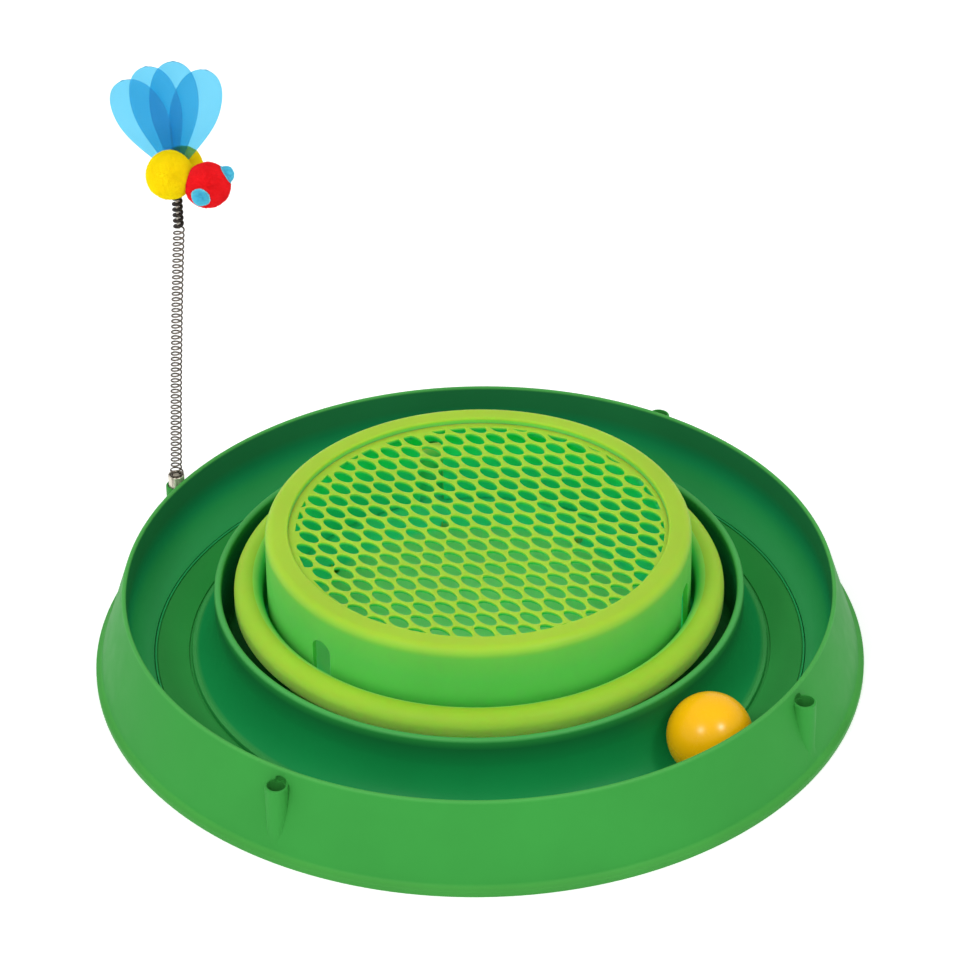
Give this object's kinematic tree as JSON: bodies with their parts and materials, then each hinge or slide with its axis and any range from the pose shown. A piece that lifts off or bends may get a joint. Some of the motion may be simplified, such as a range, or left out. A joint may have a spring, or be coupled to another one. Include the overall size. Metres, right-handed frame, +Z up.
{
  "type": "cat ball track toy",
  "caption": "Round cat toy: a ball rolls in a ring track round a grass planter with a pierced cover, and a soft bug sways on a spring wand in the wall.",
  "frame": {"origin": "on the track's axis, on the surface that the toy stands on", "axes": "+Z up along the track's axis; -Y is the side that faces the viewer, +X to the viewer's right"},
  "size_m": [0.37, 0.37, 0.2747],
  "materials": {
    "track_green": "satin moulded",
    "planter_lime": "satin moulded",
    "ball_yellow": "glossy",
    "wand_steel": "bright drawn",
    "black_sleeve": "matt",
    "felt_yellow": "fuzzy",
    "felt_red": "fuzzy",
    "felt_blue": "fuzzy",
    "wing_film": "clear film"
  },
  "bodies": {
    "base": {"outer_ring": "track_green", "track_floor": "track_green"},
    "ball": {"ball_upper_half": "ball_yellow", "ball_lower_half": "ball_yellow"},
    "planter": {"planter_tray": "planter_lime"},
    "cover": {"cover_ring": "planter_lime", "cover_grid": "planter_lime"},
    "wand_foot": {"wand_ferrule": "wand_steel", "wand_plug": "black_sleeve"},
    "wand_coil": {"wand_spring": "wand_steel"},
    "bug": {"neck_coil": "black_sleeve", "bug_stem": "wand_steel", "bug_body_front": "felt_yellow", "bug_body_rear": "felt_yellow", "bug_head": "felt_red", "bug_eye_1": "felt_blue", "bug_eye_2": "felt_blue", "wing_1": "wing_film", "wing_2": "wing_film", "wing_3": "wing_film", "wing_4": "wing_film"}
  },
  "joints": [
    {"name": "ball_orbit", "type": "hinge", "parent": "base", "child": "ball", "pos_m": [0, 0, 0.0273], "axis": [0, 0, 1], "continuous": true},
    {"name": "planter_lift", "type": "slide", "parent": "base", "child": "planter", "axis": [0, 0, 1], "range_m": [0, 0.08]},
    {"name": "cover_lift", "type": "slide", "parent": "planter", "child": "cover", "axis": [0, 0, 1], "range_m": [0, 0.06]},
    {"name": "wand_pull", "type": "slide", "parent": "base", "child": "wand_foot", "axis": [0, 0, 1], "range_m": [0, 0.035]},
    {"name": "wand_sway", "type": "hinge", "parent": "wand_foot", "child": "wand_coil", "pos_m": [-0.1494, 0.09227, 0.0436], "axis": [-0.8508, 0.5255, 0], "range_deg": [-35, 35], "stiffness_Nm_per_rad": 0.15, "deforming": ["wand_spring"]},
    {"name": "bug_nod", "type": "hinge", "parent": "wand_coil", "child": "bug", "pos_m": [-0.14093, 0.09227, 0.1836], "axis": [0.5255, 0.8508, 0], "range_deg": [-25, 25], "stiffness_Nm_per_rad": 0.08}
  ]
}
